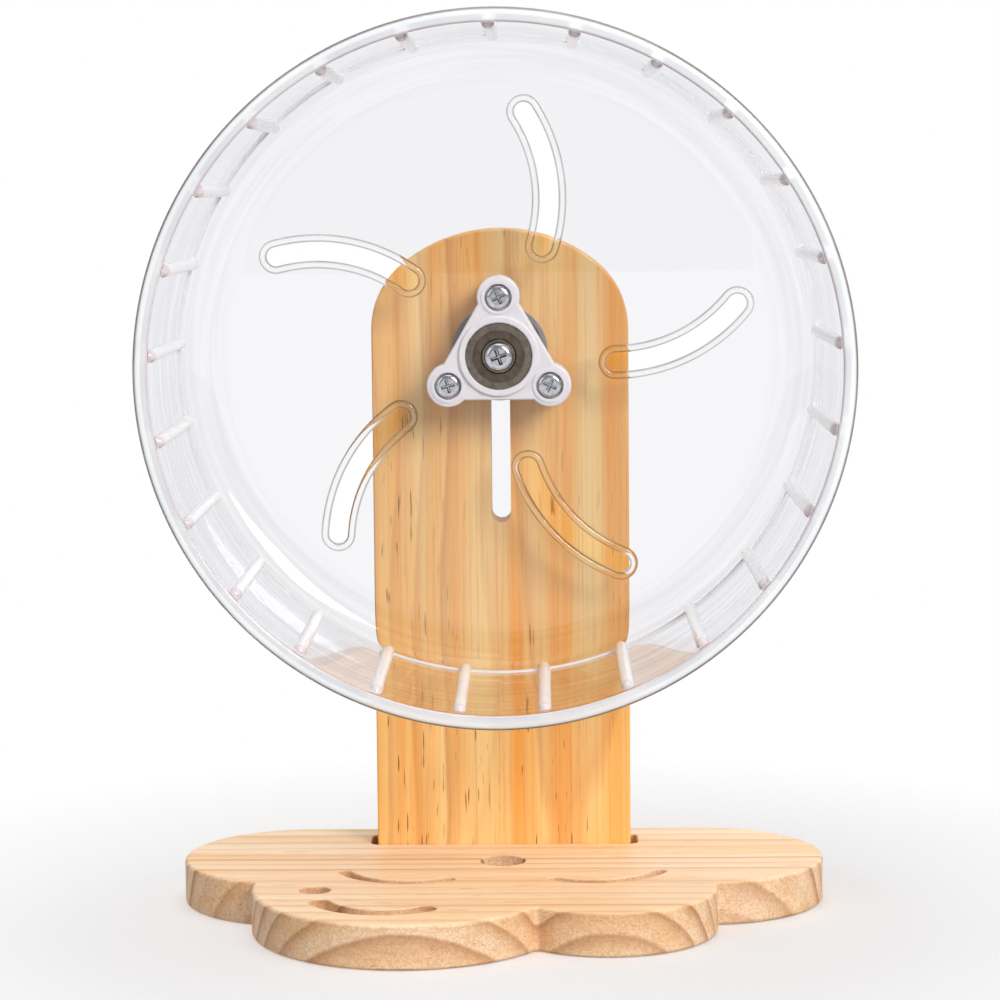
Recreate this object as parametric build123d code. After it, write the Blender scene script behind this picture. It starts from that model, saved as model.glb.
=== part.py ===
from build123d import *
import math
import os

# Rodent exercise wheel: a clear running drum on two ball bearings, clamped in
# the slot of an upright pine board that stands in a cloud-shaped pine base.
# Millimetres. +X is to the right seen from the open side of the drum, +Y goes
# from the drum to the board and +Z is up. The origin is the middle of the
# base's footprint, on the surface that the base stands on.

# Wheel drum
wheel_diameter = 223.6
lip_overhang = 2.2
lip_thickness = 3.4
wall_thickness = 2.4
disc_thickness = 2.5
track_depth = 73.0
track_taper = 2.1
front_edge_round = 0.8
dish_width = 13.0
dish_depth = 8.0
ledge_height = 0.8

# Rungs across the running track
rung_count = 25
rung_radius = 2.0
rung_setback = 5.0
rung_past_ledge = 2.0
rung_rise = 0.6
rung_phase = -0.7

# Spiral openings in the disc, placed by distance and clockwise angle
spiral_count = 5
spiral_width = 6.5
spiral_inner_radius = 38.5
spiral_inner_angle = 22.0
spiral_middle_radius = 57.5
spiral_middle_angle = 17.0
spiral_outer_radius = 80.3
spiral_outer_angle = 6.2
bead_radius = 1.3
bead_rise = 1.0
bead_overlap = 0.15

# Ball bearings of 8 x 22 x 7 mm
bearing_bore = 8.0
bearing_outside = 22.0
bearing_width = 7.0
ball_count = 7
ball_diameter = 3.97
race_gap = 0.05
outer_land_rise = 1.1
inner_land_drop = 1.9
ring_chamfer = 0.25
shield_thickness = 0.35
shield_recess = 0.35
shield_rim = 0.45
shield_gap = 0.25
cage_thickness = 1.5
cage_width = 5.0
pocket_gap = 0.1
bearing_fit = 0.02

# Three-lobed hub plates on both sides of the disc
lobe_count = 3
lobe_circle_radius = 19.35
lobe_radius = 7.05
flat_distance = 14.45
back_plate_inset = 0.4
cap_lip = 0.6
boss_wall = 2.3
boss_height = 1.0
cap_edge_round = 0.7
boss_chamfer = 0.5
bore_chamfer = 0.36
seat_width = 1.4
back_plate_gap = 1.2

# Hub screws and nuts, M4
hub_screw_diameter = 4.0
hub_head_radius = 4.0
hub_head_height = 2.6
hub_head_sunk = 1.6
hub_head_gap = 0.5
hub_screw_turn = 25.0
hub_screw_turn_step = 40.0
seat_ring_width = 1.1
seat_ring_height = 0.4
hub_nut_width = 7.0
hub_nut_thickness = 3.2
nut_pocket_gap = 0.1
screw_hole_gap = 0.2
thread_gap = 0.05

# Shape of every cross-recessed head, as shares of its radius or height
recess_span_share = 1.15
recess_wing_share = 0.26
recess_depth_share = 0.62
recess_taper = 14.0
head_round_share = 0.55
point_chamfer_share = 0.2

# Axle group: spindle, flange with its key, washer and centre screw
flange_radius = 16.0
flange_thickness = 4.0
flange_rim_width = 1.4
flange_rim_height = 0.6
flange_boss_height = 0.5
flange_boss_gap = 0.3
key_length = 12.0
key_depth = 6.0
key_gap = 0.15
key_stud_gap = 0.4
journal_gap = 0.03
stud_diameter = 6.0
axle_end_gap = 0.3
axle_screw_diameter = 5.0
axle_head_radius = 4.7
axle_head_height = 3.4
axle_screw_length = 12.0
axle_screw_turn = 20.0
washer_radius = 10.0
washer_thickness = 1.6
washer_gap = 0.2

# Clamp knob with its threaded insert
insert_length = 10.0
insert_radius = 5.0
knob_height = 14.0
knob_core_radius = 11.0
knob_lobe_count = 5
knob_lobe_radius = 4.8
knob_lobe_circle_radius = 10.2
knob_edge_round = 1.5

# Upright board with its slot
upright_width = 86.0
upright_thickness = 14.5
upright_above_axle = 40.9
arch_radius = 52.0
arch_corner_radius = 28.0
slot_width = 6.5
slot_end_gap = 1.7
slide_travel = 50.0
lowest_gap = 6.2
board_edge_round = 0.8

# Base board: one lobe at each side and two in front
base_depth = 131.5
base_thickness = 14.5
side_lobe_radius = 39.0
side_lobe_x = 67.8
left_lobe_radius = 50.2
left_lobe_x = -30.3
right_lobe_radius = 35.3
right_lobe_x = 34.4
right_lobe_setback = 14.1
cusp_radius = 1.5
base_edge_round = 1.2
hole_edge_round = 0.6
back_margin = 9.5
mortise_ear = 2.4
mortise_corner = 3.0
mortise_gap = 0.1

# Openings in the base, each placed from its own middle
round_hole_diameter = 15.0
round_hole_ahead = 23.6
small_hole_diameter = 10.0
small_hole_x = -59.8
small_hole_ahead = 62.7
arc_slot_width = 4.6
arc_slot_length = 40.0
arc_slot_sag = 8.0
arc_slot_x = 35.6
arc_slot_ahead = 47.8
arc_slot_turn = 15.5
front_slot_width = 7.0
front_slot_length = 42.0
front_slot_sag = 8.4
front_slot_x = -41.2
front_slot_ahead = 86.5
front_slot_turn = -14.2

# Screws through the back edge of the base into the upright
wood_screw_diameter = 3.8
wood_screw_head_radius = 3.7
wood_screw_head_height = 2.3
wood_screw_bite = 10.5
wood_screw_spacing = 52.0
wood_screw_hole_gap = 0.2

# How far a cutter reaches past the faces that it cuts
cutter_margin = 1.0

# Worked-out angle between two lobes of a hub plate
lobe_angle = 360 / lobe_count

# Worked-out bearing sizes
ball_pitch_radius = (bearing_bore + bearing_outside) / 4
outer_ring_land = ball_pitch_radius + outer_land_rise
inner_ring_land = ball_pitch_radius - inner_land_drop
seat_hole_radius = bearing_outside / 2 - seat_width

# Worked-out places, measured ahead of the upright's front face
wheel_radius = wheel_diameter / 2
rear_bearing_back = flange_thickness + flange_boss_height
disc_back = rear_bearing_back + bearing_width
disc_front = disc_back + disc_thickness
cap_front = disc_front + bearing_width + cap_lip
drum_front = disc_front + track_depth
back_plate_back = flange_thickness + back_plate_gap

# Worked-out places in the part's own frame
axle_z = base_thickness + lowest_gap + slide_travel + wheel_radius
upright_back_y = base_depth / 2 - back_margin
upright_front_y = upright_back_y - upright_thickness

# Seen from the open side: right, up and towards the viewer, about the axle
axle_view = Plane(origin=(0, upright_front_y, axle_z), x_dir=(1, 0, 0), z_dir=(0, -1, 0))


def polar(radius, clockwise):
    """Point at a distance from the axle, turned clockwise from straight up."""
    turn = math.radians(clockwise)
    return (radius * math.sin(turn), radius * math.cos(turn))


def disc(radius, start, end):
    """Solid cylinder about the axle between two distances ahead of the board."""
    return Pos(0, 0, start) * extrude(Circle(radius), amount=end - start)


def tube(outside, inside, start, end):
    return disc(outside, start, end) - disc(inside, start - cutter_margin, end + cutter_margin)


def turned(outline):
    """Solid turned about the axle from a closed outline of radius and height."""
    return revolve(Plane.XZ * make_face(outline), axis=Axis.Z)


def cross_recess(head_radius, depth):
    """Cutter for a cross-shaped driver recess, open at height zero."""
    wing = Rectangle(head_radius * recess_span_share, head_radius * recess_wing_share)
    return extrude(wing + Rot(0, 0, 90) * wing, amount=-depth, taper=recess_taper)


def pan_head_screw(shank_radius, length, head_radius, head_height):
    """Pan head screw with its seat at height zero and its head above it."""
    head = extrude(Circle(head_radius), amount=head_height)
    head = fillet(head.edges().group_by(Axis.Z)[-1], head_height * head_round_share)
    shank = extrude(Circle(shank_radius), amount=-length)
    shank = chamfer(shank.edges().group_by(Axis.Z)[0], shank_radius * point_chamfer_share)
    depth = head_height * recess_depth_share
    return head + shank - Pos(0, 0, head_height) * cross_recess(head_radius, depth)


def wood_screw_shape(gap=0.0):
    """Countersunk screw pointing down, its head's face at height zero, grown by a gap."""
    shank = wood_screw_diameter / 2 + gap
    head = wood_screw_head_radius + gap
    length = back_margin + wood_screw_bite + gap
    outline = Polyline(
        (0, 0),
        (head, 0),
        (shank, -wood_screw_head_height),
        (shank, 2 * shank - length),
        (0, -length),
        close=True,
    )
    return turned(outline)


def wheel_drum():
    """Clear moulding: disc, dished corner, tapered track and rolled lip."""
    outer_front = wheel_radius - lip_overhang
    inner_front = outer_front - wall_thickness
    inner_back = inner_front - track_taper
    ledge_ahead = disc_front + dish_depth
    dish_radius = inner_back - ledge_height - dish_width
    lip_round = lip_thickness / 2
    lip_centre = wheel_radius - lip_round
    lip_back = drum_front - lip_thickness
    outer_dish = dish_width + wall_thickness
    dish_centre = (dish_radius, ledge_ahead)
    path = Curve() + [
        Line((seat_hole_radius, disc_back), (dish_radius, disc_back)),
        EllipticalCenterArc(dish_centre, outer_dish, dish_depth + disc_thickness, -90, arc_size=90),
        Line((dish_radius + outer_dish, ledge_ahead), (outer_front, lip_back)),
        Line((outer_front, lip_back), (lip_centre, lip_back)),
        ThreePointArc(
            (lip_centre, lip_back),
            (wheel_radius, lip_back + lip_round),
            (lip_centre, drum_front),
        ),
        Line((lip_centre, drum_front), (inner_front + front_edge_round, drum_front)),
        RadiusArc(
            (inner_front + front_edge_round, drum_front),
            (inner_front, drum_front - front_edge_round),
            -front_edge_round,
        ),
        Line((inner_front, drum_front - front_edge_round), (inner_back, ledge_ahead)),
        Line((inner_back, ledge_ahead), (inner_back - ledge_height, ledge_ahead)),
        EllipticalCenterArc(dish_centre, dish_width, dish_depth, -90, arc_size=90),
        Line((dish_radius, disc_front), (seat_hole_radius, disc_front)),
        Line((seat_hole_radius, disc_front), (seat_hole_radius, disc_back)),
    ]
    drum = turned(path)

    front_centre = drum_front - rung_setback - rung_radius
    back_centre = ledge_ahead - rung_past_ledge + rung_radius
    front_point = (inner_front, front_centre)
    back_point = (inner_back - rung_rise, back_centre)
    rungs = [
        Rot(0, 0, -(rung_phase + 360 / rung_count * index)) * rung(front_point, back_point)
        for index in range(rung_count)
    ]
    beads = []
    openings = []
    for index in range(spiral_count):
        turn = Rot(0, 0, -360 / spiral_count * index)
        beads.append(turn * spiral_bead())
        openings.append(turn * spiral_opening())
    hole_start = disc_back - cutter_margin
    hole = disc(hub_screw_diameter / 2 + screw_hole_gap, hole_start, disc_front + cutter_margin)
    return drum + rungs + beads - openings - at_lobes(hole)


def rung(front_point, back_point):
    """Round rod with domed ends, lying in the track's wall straight above the axle."""
    start = Vector(0, back_point[0], back_point[1])
    end = Vector(0, front_point[0], front_point[1])
    section = Plane(origin=start, z_dir=end - start) * Circle(rung_radius)
    rod = extrude(section, amount=(end - start).length)
    return rod + Pos(*start) * Sphere(rung_radius) + Pos(*end) * Sphere(rung_radius)


def spiral_line():
    """Middle line of the spiral opening next to straight up."""
    return ThreePointArc(
        polar(spiral_inner_radius, spiral_inner_angle),
        polar(spiral_middle_radius, spiral_middle_angle),
        polar(spiral_outer_radius, spiral_outer_angle),
    )


def spiral_opening():
    outline = SlotArc(spiral_line(), spiral_width)
    return Pos(0, 0, disc_back - cutter_margin) * extrude(outline, amount=disc_thickness + 2 * cutter_margin)


def spiral_bead():
    """Round bead along the edge of a spiral opening, proud of the disc's front."""
    middle = spiral_width + 2 * (bead_radius - bead_overlap)
    height = disc_front + bead_rise - bead_radius
    edge = Pos(0, 0, height) * SlotArc(spiral_line(), middle).face().outer_wire()
    section = Plane(origin=edge @ 0, z_dir=edge % 0) * Circle(bead_radius)
    return sweep(section, path=edge)


def lobe_point(index):
    return polar(lobe_circle_radius, lobe_angle * index)


def lobed_outline(inset=0.0):
    """Three round lobes joined by straight flats, drawn in by an inset."""
    reach = flat_distance - inset
    half_width = (2 * reach - lobe_circle_radius) * math.tan(math.radians(lobe_angle / 4))
    corners = []
    outline = Sketch()
    for index in range(lobe_count):
        turn = math.radians(lobe_angle * index)
        across = (half_width * math.cos(turn), -half_width * math.sin(turn))
        middle = lobe_point(index)
        corners.append((middle[0] - across[0], middle[1] - across[1]))
        corners.append((middle[0] + across[0], middle[1] + across[1]))
        outline += Pos(*middle) * Circle(lobe_radius - inset)
    return outline + make_face(Polyline(*corners, close=True))


def at_lobes(shape):
    return [Pos(*lobe_point(index)) * shape for index in range(lobe_count)]


def hub_cap():
    """Frosted cap: lobed plate, round boss and a seat for each screw head."""
    plate_top = cap_front - boss_height
    plate = extrude(lobed_outline(), amount=plate_top - disc_front)
    plate = fillet(plate.edges().group_by(Axis.Z)[-1], cap_edge_round)
    boss = disc(bearing_outside / 2 + boss_wall, disc_front, cap_front)
    boss = chamfer(boss.edges().group_by(Axis.Z)[-1], boss_chamfer)
    seat_radius = hub_head_radius + hub_head_gap
    ring = disc(seat_radius + seat_ring_width, disc_front, plate_top + seat_ring_height)
    cap = Pos(0, 0, disc_front) * plate + boss + at_lobes(ring)
    start = disc_front - cutter_margin
    end = cap_front + cutter_margin
    seat = disc(seat_radius, plate_top - hub_head_sunk, end)
    hole = disc(hub_screw_diameter / 2 + screw_hole_gap, start, end)
    bore = disc(bearing_outside / 2 + bearing_fit, start, end)
    cap = cap - at_lobes(seat) - at_lobes(hole) - bore
    bore_edge = cap.edges().filter_by(GeomType.CIRCLE).filter_by(
        lambda edge: abs(edge.radius - bearing_outside / 2 - bearing_fit) < 0.01
    )
    return chamfer(bore_edge.group_by(Axis.Z)[-1], bore_chamfer)


def hub_back_plate():
    """Lobed plate behind the disc, with a hexagonal pocket for each nut."""
    plate = extrude(lobed_outline(back_plate_inset), amount=disc_back - back_plate_back)
    plate = Pos(0, 0, back_plate_back) * plate
    pocket = RegularPolygon(hub_nut_width / 2 + nut_pocket_gap, 6, major_radius=False)
    pocket = Pos(0, 0, back_plate_back) * extrude(pocket, amount=hub_nut_thickness)
    start = back_plate_back - cutter_margin
    end = disc_back + cutter_margin
    hole = disc(hub_screw_diameter / 2 + screw_hole_gap, start, end)
    bore = disc(bearing_outside / 2 + bearing_fit, start, end)
    return plate - at_lobes(pocket) - at_lobes(hole) - bore


def hub_screws():
    seat = cap_front - boss_height - hub_head_sunk
    length = seat - back_plate_back
    screw = pan_head_screw(hub_screw_diameter / 2, length, hub_head_radius, hub_head_height)
    return [
        Pos(*lobe_point(index), seat) * Rot(0, 0, hub_screw_turn + hub_screw_turn_step * index) * screw
        for index in range(lobe_count)
    ]


def hub_nuts():
    body = RegularPolygon(hub_nut_width / 2, 6, major_radius=False)
    nut = Pos(0, 0, back_plate_back) * extrude(body, amount=hub_nut_thickness)
    hole = disc(hub_screw_diameter / 2 + thread_gap, back_plate_back - cutter_margin, disc_back)
    return at_lobes(nut - hole)


def race_groove(back):
    """Ring-shaped cutter for the raceways of a bearing that starts at a height."""
    radius = ball_diameter / 2 + race_gap
    return Pos(0, 0, back + bearing_width / 2) * Torus(ball_pitch_radius, radius)


def bearing_outer_ring(back):
    ring = tube(bearing_outside / 2, outer_ring_land, back, back + bearing_width)
    ring = chamfer(ring.edges().filter_by(GeomType.CIRCLE).group_by(SortBy.RADIUS)[-1], ring_chamfer)
    return ring - race_groove(back)


def bearing_inner_ring(back):
    ring = tube(inner_ring_land, bearing_bore / 2, back, back + bearing_width)
    ring = chamfer(ring.edges().filter_by(GeomType.CIRCLE).group_by(SortBy.RADIUS)[-1], ring_chamfer)
    return ring - race_groove(back)


def bearing_shield(face, inward):
    """Sheet ring just inside a bearing's face, with a raised rim at its edge."""
    outside = outer_ring_land - bearing_fit
    inside = inner_ring_land + shield_gap
    outer_face = face + inward * shield_recess
    inner_face = outer_face + inward * shield_thickness
    sheet = tube(outside, inside, min(outer_face, inner_face), max(outer_face, inner_face))
    rim_face = outer_face - inward * shield_recess / 2
    rim = tube(outside, outside - shield_rim, min(rim_face, outer_face), max(rim_face, outer_face))
    return sheet + rim


def bearing_balls(back):
    ball = Pos(ball_pitch_radius, 0, back + bearing_width / 2) * Sphere(ball_diameter / 2)
    return [Rot(0, 0, 360 / ball_count * index) * ball for index in range(ball_count)]


def bearing_cage(back):
    middle = back + bearing_width / 2
    inside = ball_pitch_radius - cage_thickness / 2
    ring = tube(inside + cage_thickness, inside, middle - cage_width / 2, middle + cage_width / 2)
    pocket = Rot(0, 90, 0) * Cylinder(ball_diameter / 2 + pocket_gap, 2 * cage_thickness)
    pocket = Pos(ball_pitch_radius, 0, middle) * pocket
    return ring - [Rot(0, 0, 360 / ball_count * index) * pocket for index in range(ball_count)]


def axle():
    """Spindle: journal and tapped hole in front, threaded stud behind."""
    journal_end = disc_front + bearing_width - axle_end_gap
    journal = disc(bearing_bore / 2 - journal_gap, 0, journal_end)
    journal = chamfer(journal.edges().group_by(Axis.Z)[-1], ring_chamfer)
    stud_end = -(upright_thickness + washer_thickness + insert_length)
    stud = disc(stud_diameter / 2, stud_end, 0)
    stud = chamfer(stud.edges().group_by(Axis.Z)[0], stud_diameter / 2 * point_chamfer_share)
    tapped_end = journal_end - axle_screw_length
    tapped = disc(axle_screw_diameter / 2 + thread_gap, tapped_end, journal_end + cutter_margin)
    return journal + stud - tapped


def axle_flange():
    """Flange that bears on the board, with a bearing boss and two lugs in the slot."""
    body = disc(flange_radius, 0, flange_thickness)
    recess_floor = flange_thickness - flange_rim_height
    recess = disc(flange_radius - flange_rim_width, recess_floor, flange_thickness + cutter_margin)
    boss = disc(inner_ring_land - flange_boss_gap, 0, rear_bearing_back)
    key_width = slot_width - 2 * key_gap
    stud_room = Rectangle(slot_width, stud_diameter + 2 * key_stud_gap)
    lugs = SlotOverall(key_length, key_width, rotation=90) - stud_room
    bore = disc(bearing_bore / 2, -cutter_margin, rear_bearing_back + cutter_margin)
    return body - recess + boss + extrude(lugs, amount=-key_depth) - bore


def bearing_spacer():
    return tube(inner_ring_land - ring_chamfer, bearing_bore / 2, disc_back, disc_front)


def axle_screw():
    seat = disc_front + bearing_width
    length = axle_screw_length - axle_end_gap
    screw = pan_head_screw(axle_screw_diameter / 2, length, axle_head_radius, axle_head_height)
    return Pos(0, 0, seat) * Rot(0, 0, axle_screw_turn) * screw


def rear_washer():
    inside = stud_diameter / 2 + washer_gap
    return tube(washer_radius, inside, -upright_thickness - washer_thickness, -upright_thickness)


def knob_front():
    return -(upright_thickness + washer_thickness)


def knob_insert():
    inside = stud_diameter / 2 + thread_gap
    return tube(insert_radius, inside, knob_front() - insert_length, knob_front())


def clamp_knob():
    """Five-lobed hand knob with a blind hole for its insert."""
    outline = Sketch() + Circle(knob_core_radius)
    for index in range(knob_lobe_count):
        centre = polar(knob_lobe_circle_radius, 360 / knob_lobe_count * index)
        outline += Pos(*centre) * Circle(knob_lobe_radius)
    body = extrude(outline, amount=-knob_height)
    body = fillet(body.edges().group_by(Axis.Z)[0], knob_edge_round)
    hole = disc(insert_radius, knob_front() - insert_length, knob_front() + cutter_margin)
    return Pos(0, 0, knob_front()) * body - hole


def upright_board():
    """Board with an arched top of three arcs and a slot for the axle."""
    half = upright_width / 2
    reach = arch_radius - arch_corner_radius
    corner_x = half - arch_corner_radius
    rise = math.sqrt(reach**2 - corner_x**2)
    arch_y = upright_above_axle - arch_radius
    corner_y = arch_y + rise
    join = (arch_radius * corner_x / reach, arch_y + arch_radius * rise / reach)
    foot = -axle_z
    outline = [
        Line((-half, foot), (half, foot)),
        Line((half, foot), (half, corner_y)),
        RadiusArc((half, corner_y), join, -arch_corner_radius),
        RadiusArc(join, (-join[0], join[1]), -arch_radius),
        RadiusArc((-join[0], join[1]), (-half, corner_y), -arch_corner_radius),
        Line((-half, corner_y), (-half, foot)),
    ]
    board = extrude(make_face(Curve() + outline), amount=-upright_thickness)
    edges = board.edges().group_by(Axis.Z)
    above = [edge for edge in edges[0] + edges[-1] if edge.center().Y > foot + base_thickness / 2]
    board = fillet(above, board_edge_round)
    slot_top = key_length / 2 + slot_end_gap
    slot_bottom = -slide_travel - key_length / 2 - slot_end_gap
    slot = SlotOverall(slot_top - slot_bottom, slot_width, rotation=90)
    slot = extrude(slot, amount=-upright_thickness - 2 * cutter_margin)
    slot = Pos(0, (slot_top + slot_bottom) / 2, cutter_margin) * slot
    pilot = disc(wood_screw_diameter / 2 + thread_gap, -cutter_margin, wood_screw_bite + thread_gap)
    pilots = [
        Pos(side * wood_screw_spacing / 2, foot + base_thickness / 2, -upright_thickness) * pilot
        for side in (-1, 1)
    ]
    return board - slot - pilots


def curved_slot(width, length, sag, turn):
    """Curved slot in plan, its middle bowed towards the front by its sag."""
    half = length / 2 - width / 2
    line = ThreePointArc((-half, sag / 2), (0, -sag / 2), (half, sag / 2))
    return Rot(0, 0, turn) * SlotArc(line, width)


def base_board():
    """Cloud-shaped board with its mortise, round holes and curved slots."""
    back = base_depth / 2
    outline = Sketch() + [
        Pos(-side_lobe_x, back - side_lobe_radius) * Circle(side_lobe_radius),
        Pos(side_lobe_x, back - side_lobe_radius) * Circle(side_lobe_radius),
        Pos(left_lobe_x, left_lobe_radius - back) * Circle(left_lobe_radius),
        Pos(right_lobe_x, right_lobe_radius + right_lobe_setback - back) * Circle(right_lobe_radius),
        Pos(0, back - side_lobe_radius) * Rectangle(2 * side_lobe_x, 2 * side_lobe_radius),
    ]
    cusps = [corner for corner in outline.vertices() if corner.Y < back - side_lobe_radius]
    outline = fillet(cusps, cusp_radius)
    board = extrude(outline - base_openings(), amount=base_thickness)
    rims = [face.outer_wire().edges() for face in board.faces().filter_by(Plane.XY)]
    board = fillet(rims[0] + rims[1], base_edge_round)
    top = board.faces().filter_by(Plane.XY).sort_by(Axis.Z)[-1]
    opening_rims = [edge for wire in top.inner_wires() for edge in wire.edges()]
    board = fillet(opening_rims, hole_edge_round)
    hole = Rot(-90, 0, 0) * wood_screw_shape(wood_screw_hole_gap)
    return board - [Pos(*wood_screw_place(side)) * hole for side in (-1, 1)]


def base_openings():
    """Plan outlines of the mortise and the other openings through the base."""
    mortise = RectangleRounded(
        upright_width + 2 * mortise_ear,
        upright_thickness + 2 * mortise_gap,
        mortise_corner,
    )
    return [
        Pos(0, upright_back_y - upright_thickness / 2) * mortise,
        Pos(0, upright_front_y - round_hole_ahead) * Circle(round_hole_diameter / 2),
        Pos(small_hole_x, upright_front_y - small_hole_ahead) * Circle(small_hole_diameter / 2),
        *[
            Pos(side * arc_slot_x, upright_front_y - arc_slot_ahead)
            * curved_slot(arc_slot_width, arc_slot_length, arc_slot_sag, side * arc_slot_turn)
            for side in (-1, 1)
        ],
        Pos(front_slot_x, upright_front_y - front_slot_ahead)
        * curved_slot(front_slot_width, front_slot_length, front_slot_sag, front_slot_turn),
    ]


def wood_screw_place(side):
    return (side * wood_screw_spacing / 2, base_depth / 2, base_thickness / 2)


def upright_screws():
    """Two wood screws, their heads flush with the back edge of the base."""
    recess = cross_recess(wood_screw_head_radius, wood_screw_head_height * recess_depth_share)
    screw = Rot(-90, 0, 0) * (wood_screw_shape() - recess)
    return [Pos(*wood_screw_place(side)) * screw for side in (-1, 1)]


def write(name, shape, about_axle=True):
    """Write one sub-part in the part's own frame."""
    solids = shape if isinstance(shape, list) else [shape]
    placed = [axle_view.location * solid if about_axle else solid for solid in solids]
    export_step(placed[0] if len(placed) == 1 else Compound(children=placed), f"parts/{name}.step")


os.makedirs("parts", exist_ok=True)
write("base_board", base_board(), about_axle=False)
write("upright_board", upright_board())
write("upright_screws", upright_screws(), about_axle=False)
write("axle", axle())
write("axle_flange", axle_flange())
write("bearing_spacer", bearing_spacer())
write("axle_screw", axle_screw())
write("rear_washer", rear_washer())
write("knob_insert", knob_insert())
write("clamp_knob", clamp_knob())
write("wheel_drum", wheel_drum())
write("hub_cap", hub_cap())
write("hub_back_plate", hub_back_plate())
write("hub_screws", hub_screws())
write("hub_nuts", hub_nuts())
for end, start, outward in (("front", disc_front, 1), ("rear", rear_bearing_back, -1)):
    outer_face = start + bearing_width if outward > 0 else start
    inner_face = start if outward > 0 else start + bearing_width
    write(f"{end}_bearing_outer_ring", bearing_outer_ring(start))
    write(f"{end}_bearing_inner_ring", bearing_inner_ring(start))
    write(f"{end}_bearing_outer_shield", bearing_shield(outer_face, -outward))
    write(f"{end}_bearing_inner_shield", bearing_shield(inner_face, outward))
    write(f"{end}_bearing_balls", bearing_balls(start))
    write(f"{end}_bearing_cage", bearing_cage(start))
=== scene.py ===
import math

import bmesh
import bpy
import numpy as np
from mathutils import Euler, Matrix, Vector
from mathutils.geometry import delaunay_2d_cdt


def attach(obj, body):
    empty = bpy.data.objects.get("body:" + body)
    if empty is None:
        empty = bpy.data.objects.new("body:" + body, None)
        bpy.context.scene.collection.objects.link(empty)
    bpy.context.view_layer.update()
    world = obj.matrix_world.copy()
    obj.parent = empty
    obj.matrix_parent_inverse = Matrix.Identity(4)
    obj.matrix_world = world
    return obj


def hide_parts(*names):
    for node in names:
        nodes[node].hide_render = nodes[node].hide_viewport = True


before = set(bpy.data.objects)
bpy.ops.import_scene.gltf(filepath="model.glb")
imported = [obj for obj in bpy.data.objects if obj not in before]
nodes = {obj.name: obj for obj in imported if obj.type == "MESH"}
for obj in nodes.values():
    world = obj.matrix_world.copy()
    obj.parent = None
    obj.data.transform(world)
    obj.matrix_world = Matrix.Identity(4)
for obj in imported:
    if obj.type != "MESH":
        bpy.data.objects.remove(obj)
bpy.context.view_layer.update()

# Base board
# One plank of pale sanded pine, sawn to a cloud outline with rounded edges and
# thinly lacquered. Its grain runs from side to side.


def linear(red, green, blue):
    """Linear colour with full alpha from screen values: each over 255, to the power 2.2."""
    return tuple((channel / 255) ** 2.2 for channel in (red, green, blue)) + (1.0,)


def add(tree, kind, **values):
    """New shader node. A value called in_ and a number is that input's, any other is a property."""
    node = tree.nodes.new(kind)
    for key, value in values.items():
        if key.startswith("in_"):
            node.inputs[int(key[3:])].default_value = value
        else:
            setattr(node, key, value)
    return node


def fill(tree, socket, value):
    """Link a socket to an input, or give the input a plain value."""
    if isinstance(value, bpy.types.NodeSocket):
        tree.links.new(value, socket)
    elif value is not None:
        socket.default_value = value


def plug(tree, node, **inputs):
    """Fill a node's inputs by their names, written with _ for a space."""
    for name, value in inputs.items():
        fill(tree, node.inputs[name.replace("_", " ")], value)
    return node


def math_node(tree, operation, first, second=None, third=None, clamp=False):
    """Output of a math node on sockets or plain numbers."""
    node = add(tree, "ShaderNodeMath", operation=operation, use_clamp=clamp)
    for socket, value in zip(node.inputs, (first, second, third)):
        fill(tree, socket, value)
    return node.outputs[0]


def past(tree, value, level, gain):
    """How far a value is past a level, times a gain, held between 0 and 1."""
    return math_node(tree, "MULTIPLY", math_node(tree, "SUBTRACT", value, level), gain, clamp=True)


def swing(tree, value, reach):
    """A noise of 0 to 1 as a swing about nought: the noise less a half, times a reach."""
    return math_node(tree, "MULTIPLY", math_node(tree, "SUBTRACT", value, 0.5), reach)


def ramp(tree, value, low, high, first=0.0, last=1.0):
    """A value between low and high carried to between first and last, and held at both ends."""
    node = add(tree, "ShaderNodeMapRange", in_1=low, in_2=high, in_3=first, in_4=last)
    tree.links.new(value, node.inputs[0])
    return node.outputs[0]


def split_xyz(tree, vector):
    """The three numbers of a vector."""
    node = tree.nodes.new("ShaderNodeSeparateXYZ")
    tree.links.new(vector, node.inputs[0])
    return list(node.outputs)


def blend_colours(tree, factor, first, second):
    """Colour mixed from two colours by a factor."""
    node = add(tree, "ShaderNodeMix", data_type="RGBA")
    for socket, value in zip((node.inputs[0], node.inputs[6], node.inputs[7]), (factor, first, second)):
        fill(tree, socket, value)
    return node.outputs[2]


def noise(tree, place, stretch, scale, detail=2.0, offset=(0, 0, 0)):
    """Noise at a place in metres, after the place is scaled by a stretch and shifted."""
    mapping = add(tree, "ShaderNodeMapping", in_1=offset, in_3=stretch)
    tree.links.new(place, mapping.inputs[0])
    texture = add(tree, "ShaderNodeTexNoise", in_2=scale, in_3=detail)
    tree.links.new(mapping.outputs[0], texture.inputs[0])
    return texture.outputs[0]


def new_group(name, inputs, outputs):
    """Shader node group with (name, kind) inputs and number outputs, its first and its last node."""
    group = bpy.data.node_groups.new(name, "ShaderNodeTree")
    for socket, kind in inputs:
        group.interface.new_socket(name=socket, in_out="INPUT", socket_type="NodeSocket" + kind)
    for socket in outputs:
        group.interface.new_socket(name=socket, in_out="OUTPUT", socket_type="NodeSocketFloat")
    return group, group.nodes.new("NodeGroupInput"), group.nodes.new("NodeGroupOutput")


def new_material(name):
    """Principled material with its node tree, its shader and the place on the piece in metres."""
    material = bpy.data.materials.new(name)
    material.use_nodes = True
    tree = material.node_tree
    place = tree.nodes.new("ShaderNodeTexCoord").outputs["Object"]
    return material, tree, tree.nodes["Principled BSDF"], place


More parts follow.
